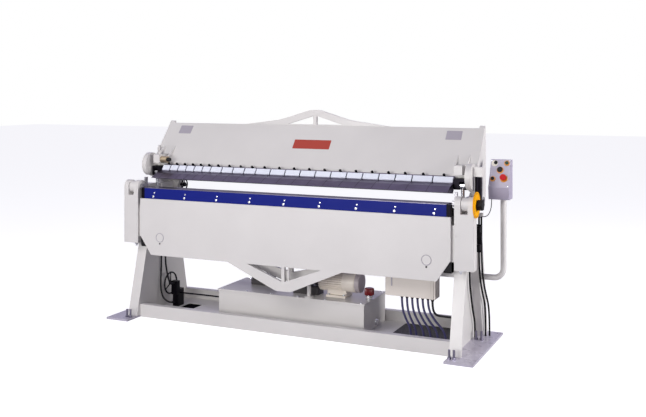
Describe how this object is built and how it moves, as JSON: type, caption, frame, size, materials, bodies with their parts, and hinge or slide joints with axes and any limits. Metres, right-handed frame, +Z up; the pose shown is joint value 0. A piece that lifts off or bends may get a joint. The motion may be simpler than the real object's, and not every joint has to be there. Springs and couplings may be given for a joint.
{
  "type": "hydraulic sheet metal folder",
  "caption": "Floor-standing hydraulic sheet metal folder with segmented fingers on a tilting clamp beam, a swinging apron, tank, pump and an operator console.",
  "frame": {"origin": "on the floor, in the middle of the four anchor holes of the foot plates", "axes": "+X along the machine to the operator's right seen from the front, +Y from the operator to the back, +Z up"},
  "size_m": [3.039, 0.852, 1.636],
  "materials": {
    "machine_paint": "satin paint, warm off-white",
    "bar_paint": "gloss paint, deep blue",
    "ground_steel": "ground",
    "nose_steel": "hardened, dark",
    "bright_plate": "bright zinc",
    "dark_steel": "blackened",
    "rod_chrome": "polished",
    "motor_paint": "matt paint, light grey",
    "pump_iron": "rough",
    "dial_paint": "gloss paint, yellow",
    "console_paint": "satin paint, lavender grey",
    "box_paint": "satin paint, light grey",
    "black_plastic": "moulded",
    "green_plastic": "moulded",
    "red_plastic": "moulded",
    "cap_plastic": "moulded",
    "hose_rubber": "smooth",
    "conduit_plastic": "corrugated",
    "fitting_brass": "machined"
  },
  "bodies": {
    "frame": {"foot_plates": "machine_paint", "levelling_screws": "bright_plate", "front_channel": "machine_paint", "rear_channel": "machine_paint", "base_pan": "machine_paint", "left_side_frame": "machine_paint", "right_side_frame": "machine_paint", "bed_table": "machine_paint", "bed_blade": "nose_steel", "bed_web": "machine_paint", "hinge_pins": "ground_steel", "rack_cylinders": "dark_steel", "oil_tank": "machine_paint", "tank_lid": "machine_paint", "pump_motor": "motor_paint", "hydraulic_pump": "pump_iron", "valve_stack": "pump_iron", "valve_block": "dark_steel", "electrical_box": "box_paint", "conduits": "conduit_plastic", "hoses": "hose_rubber", "switch_cable": "hose_rubber", "console_arm": "machine_paint", "console_box": "console_paint", "limit_switches": "black_plastic"},
    "apron": {"apron_plate": "machine_paint", "folding_bar": "bar_paint", "folding_blade": "dark_steel", "bar_end_blocks": "dark_steel", "left_apron_bracket": "machine_paint", "right_apron_bracket": "machine_paint", "fold_shafts": "ground_steel", "angle_dial": "dial_paint"},
    "clamp_beam": {"beam_end_plates": "machine_paint", "beam_plate": "machine_paint", "beam_floor": "machine_paint", "beam_truss": "machine_paint", "finger_rail": "dark_steel", "fingers": "nose_steel", "finger_plates": "bright_plate", "beam_end_blocks": "machine_paint", "brass_fitting": "fitting_brass", "clamp_rod_brackets": "dark_steel", "switch_block": "machine_paint", "switch_rod": "dark_steel"},
    "left_rack": {"left_rack_rod": "ground_steel"},
    "right_rack": {"right_rack_rod": "ground_steel"},
    "left_barrel": {"left_clamp_barrel": "dark_steel"},
    "right_barrel": {"right_clamp_barrel": "dark_steel"},
    "left_rod": {"left_clamp_rod": "rod_chrome"},
    "right_rod": {"right_clamp_rod": "rod_chrome"},
    "stop_knob": {"stop_knob": "black_plastic"},
    "setback_handwheel": {"setback_handwheel": "dark_steel"},
    "valve_handwheel": {"valve_handwheel": "dark_steel"},
    "filler_cap": {"filler_cap": "cap_plastic"},
    "selector_switch": {"selector_switch": "black_plastic"},
    "start_button": {"start_button": "green_plastic"},
    "black_button": {"black_button": "black_plastic"},
    "jog_button": {"jog_button": "black_plastic"},
    "stop_mushroom": {"stop_mushroom": "red_plastic"}
  },
  "joints": [
    {"name": "apron_fold", "type": "hinge", "parent": "frame", "child": "apron", "pos_m": [0, -0.202, 1.022], "axis": [-1, 0, 0], "range_deg": [0, 135]},
    {"name": "clamp_tilt", "type": "hinge", "parent": "frame", "child": "clamp_beam", "pos_m": [0, 0.255, 1], "axis": [1, 0, 0], "range_deg": [0, 9.4]},
    {"name": "left_rack_slide", "type": "slide", "parent": "frame", "child": "left_rack", "axis": [0, 0, -1], "range_m": [0, 0.066]},
    {"name": "left_barrel_swing", "type": "hinge", "parent": "frame", "child": "left_barrel", "pos_m": [-1.281, -0.004, 0.655], "axis": [1, 0, 0], "range_deg": [0, 2.3]},
    {"name": "left_rod_stroke", "type": "slide", "parent": "left_barrel", "child": "left_rod", "axis": [0, 0, 1], "range_m": [-0.0437, 0]},
    {"name": "right_rack_slide", "type": "slide", "parent": "frame", "child": "right_rack", "axis": [0, 0, -1], "range_m": [0, 0.066]},
    {"name": "right_barrel_swing", "type": "hinge", "parent": "frame", "child": "right_barrel", "pos_m": [1.281, -0.004, 0.655], "axis": [1, 0, 0], "range_deg": [0, 2.3]},
    {"name": "right_rod_stroke", "type": "slide", "parent": "right_barrel", "child": "right_rod", "axis": [0, 0, 1], "range_m": [-0.0437, 0]},
    {"name": "stop_knob_turn", "type": "hinge", "parent": "apron", "child": "stop_knob", "pos_m": [1.455, -0.202, 1.022], "axis": [1, 0, 0], "continuous": true},
    {"name": "setback_turn", "type": "hinge", "parent": "frame", "child": "setback_handwheel", "pos_m": [-1.19, 0.255, 1], "axis": [1, 0, 0], "continuous": true},
    {"name": "valve_turn", "type": "hinge", "parent": "frame", "child": "valve_handwheel", "pos_m": [-1.206, 0.075, 0.208], "axis": [1, 0, 0], "continuous": true},
    {"name": "filler_cap_turn", "type": "hinge", "parent": "frame", "child": "filler_cap", "pos_m": [0.545, 0.085, 0.302], "axis": [0, 0, 1], "range_deg": [0, 90]},
    {"name": "selector_turn", "type": "hinge", "parent": "frame", "child": "selector_switch", "pos_m": [1.468, 0.18591, 1.2787], "axis": [0, -0.9219, 0.3875], "range_deg": [-45, 45]},
    {"name": "start_button_press", "type": "slide", "parent": "frame", "child": "start_button", "axis": [0, 0.9219, -0.3875], "range_m": [0, 0.003], "stiffness_N_per_m": 400, "springref_m": -0.002},
    {"name": "black_button_press", "type": "slide", "parent": "frame", "child": "black_button", "axis": [0, 0.9219, -0.3875], "range_m": [0, 0.003], "stiffness_N_per_m": 500, "springref_m": -0.002},
    {"name": "jog_button_press", "type": "slide", "parent": "frame", "child": "jog_button", "axis": [0, 0.9219, -0.3875], "range_m": [0, 0.003], "stiffness_N_per_m": 400, "springref_m": -0.002},
    {"name": "stop_mushroom_press", "type": "slide", "parent": "frame", "child": "stop_mushroom", "axis": [0, 0.9219, -0.3875], "range_m": [0, 0.005], "stiffness_N_per_m": 700, "springref_m": -0.002}
  ],
  "couplings": [
    {"joint": "left_rack_slide", "follows": "apron_fold", "m_per_rad": 0.028},
    {"joint": "left_barrel_swing", "follows": "clamp_tilt", "ratio": 0.24398},
    {"joint": "left_rod_stroke", "follows": "clamp_tilt", "m_per_rad": -0.26607},
    {"joint": "right_rack_slide", "follows": "apron_fold", "m_per_rad": 0.028},
    {"joint": "right_barrel_swing", "follows": "clamp_tilt", "ratio": 0.24398},
    {"joint": "right_rod_stroke", "follows": "clamp_tilt", "m_per_rad": -0.26607}
  ]
}
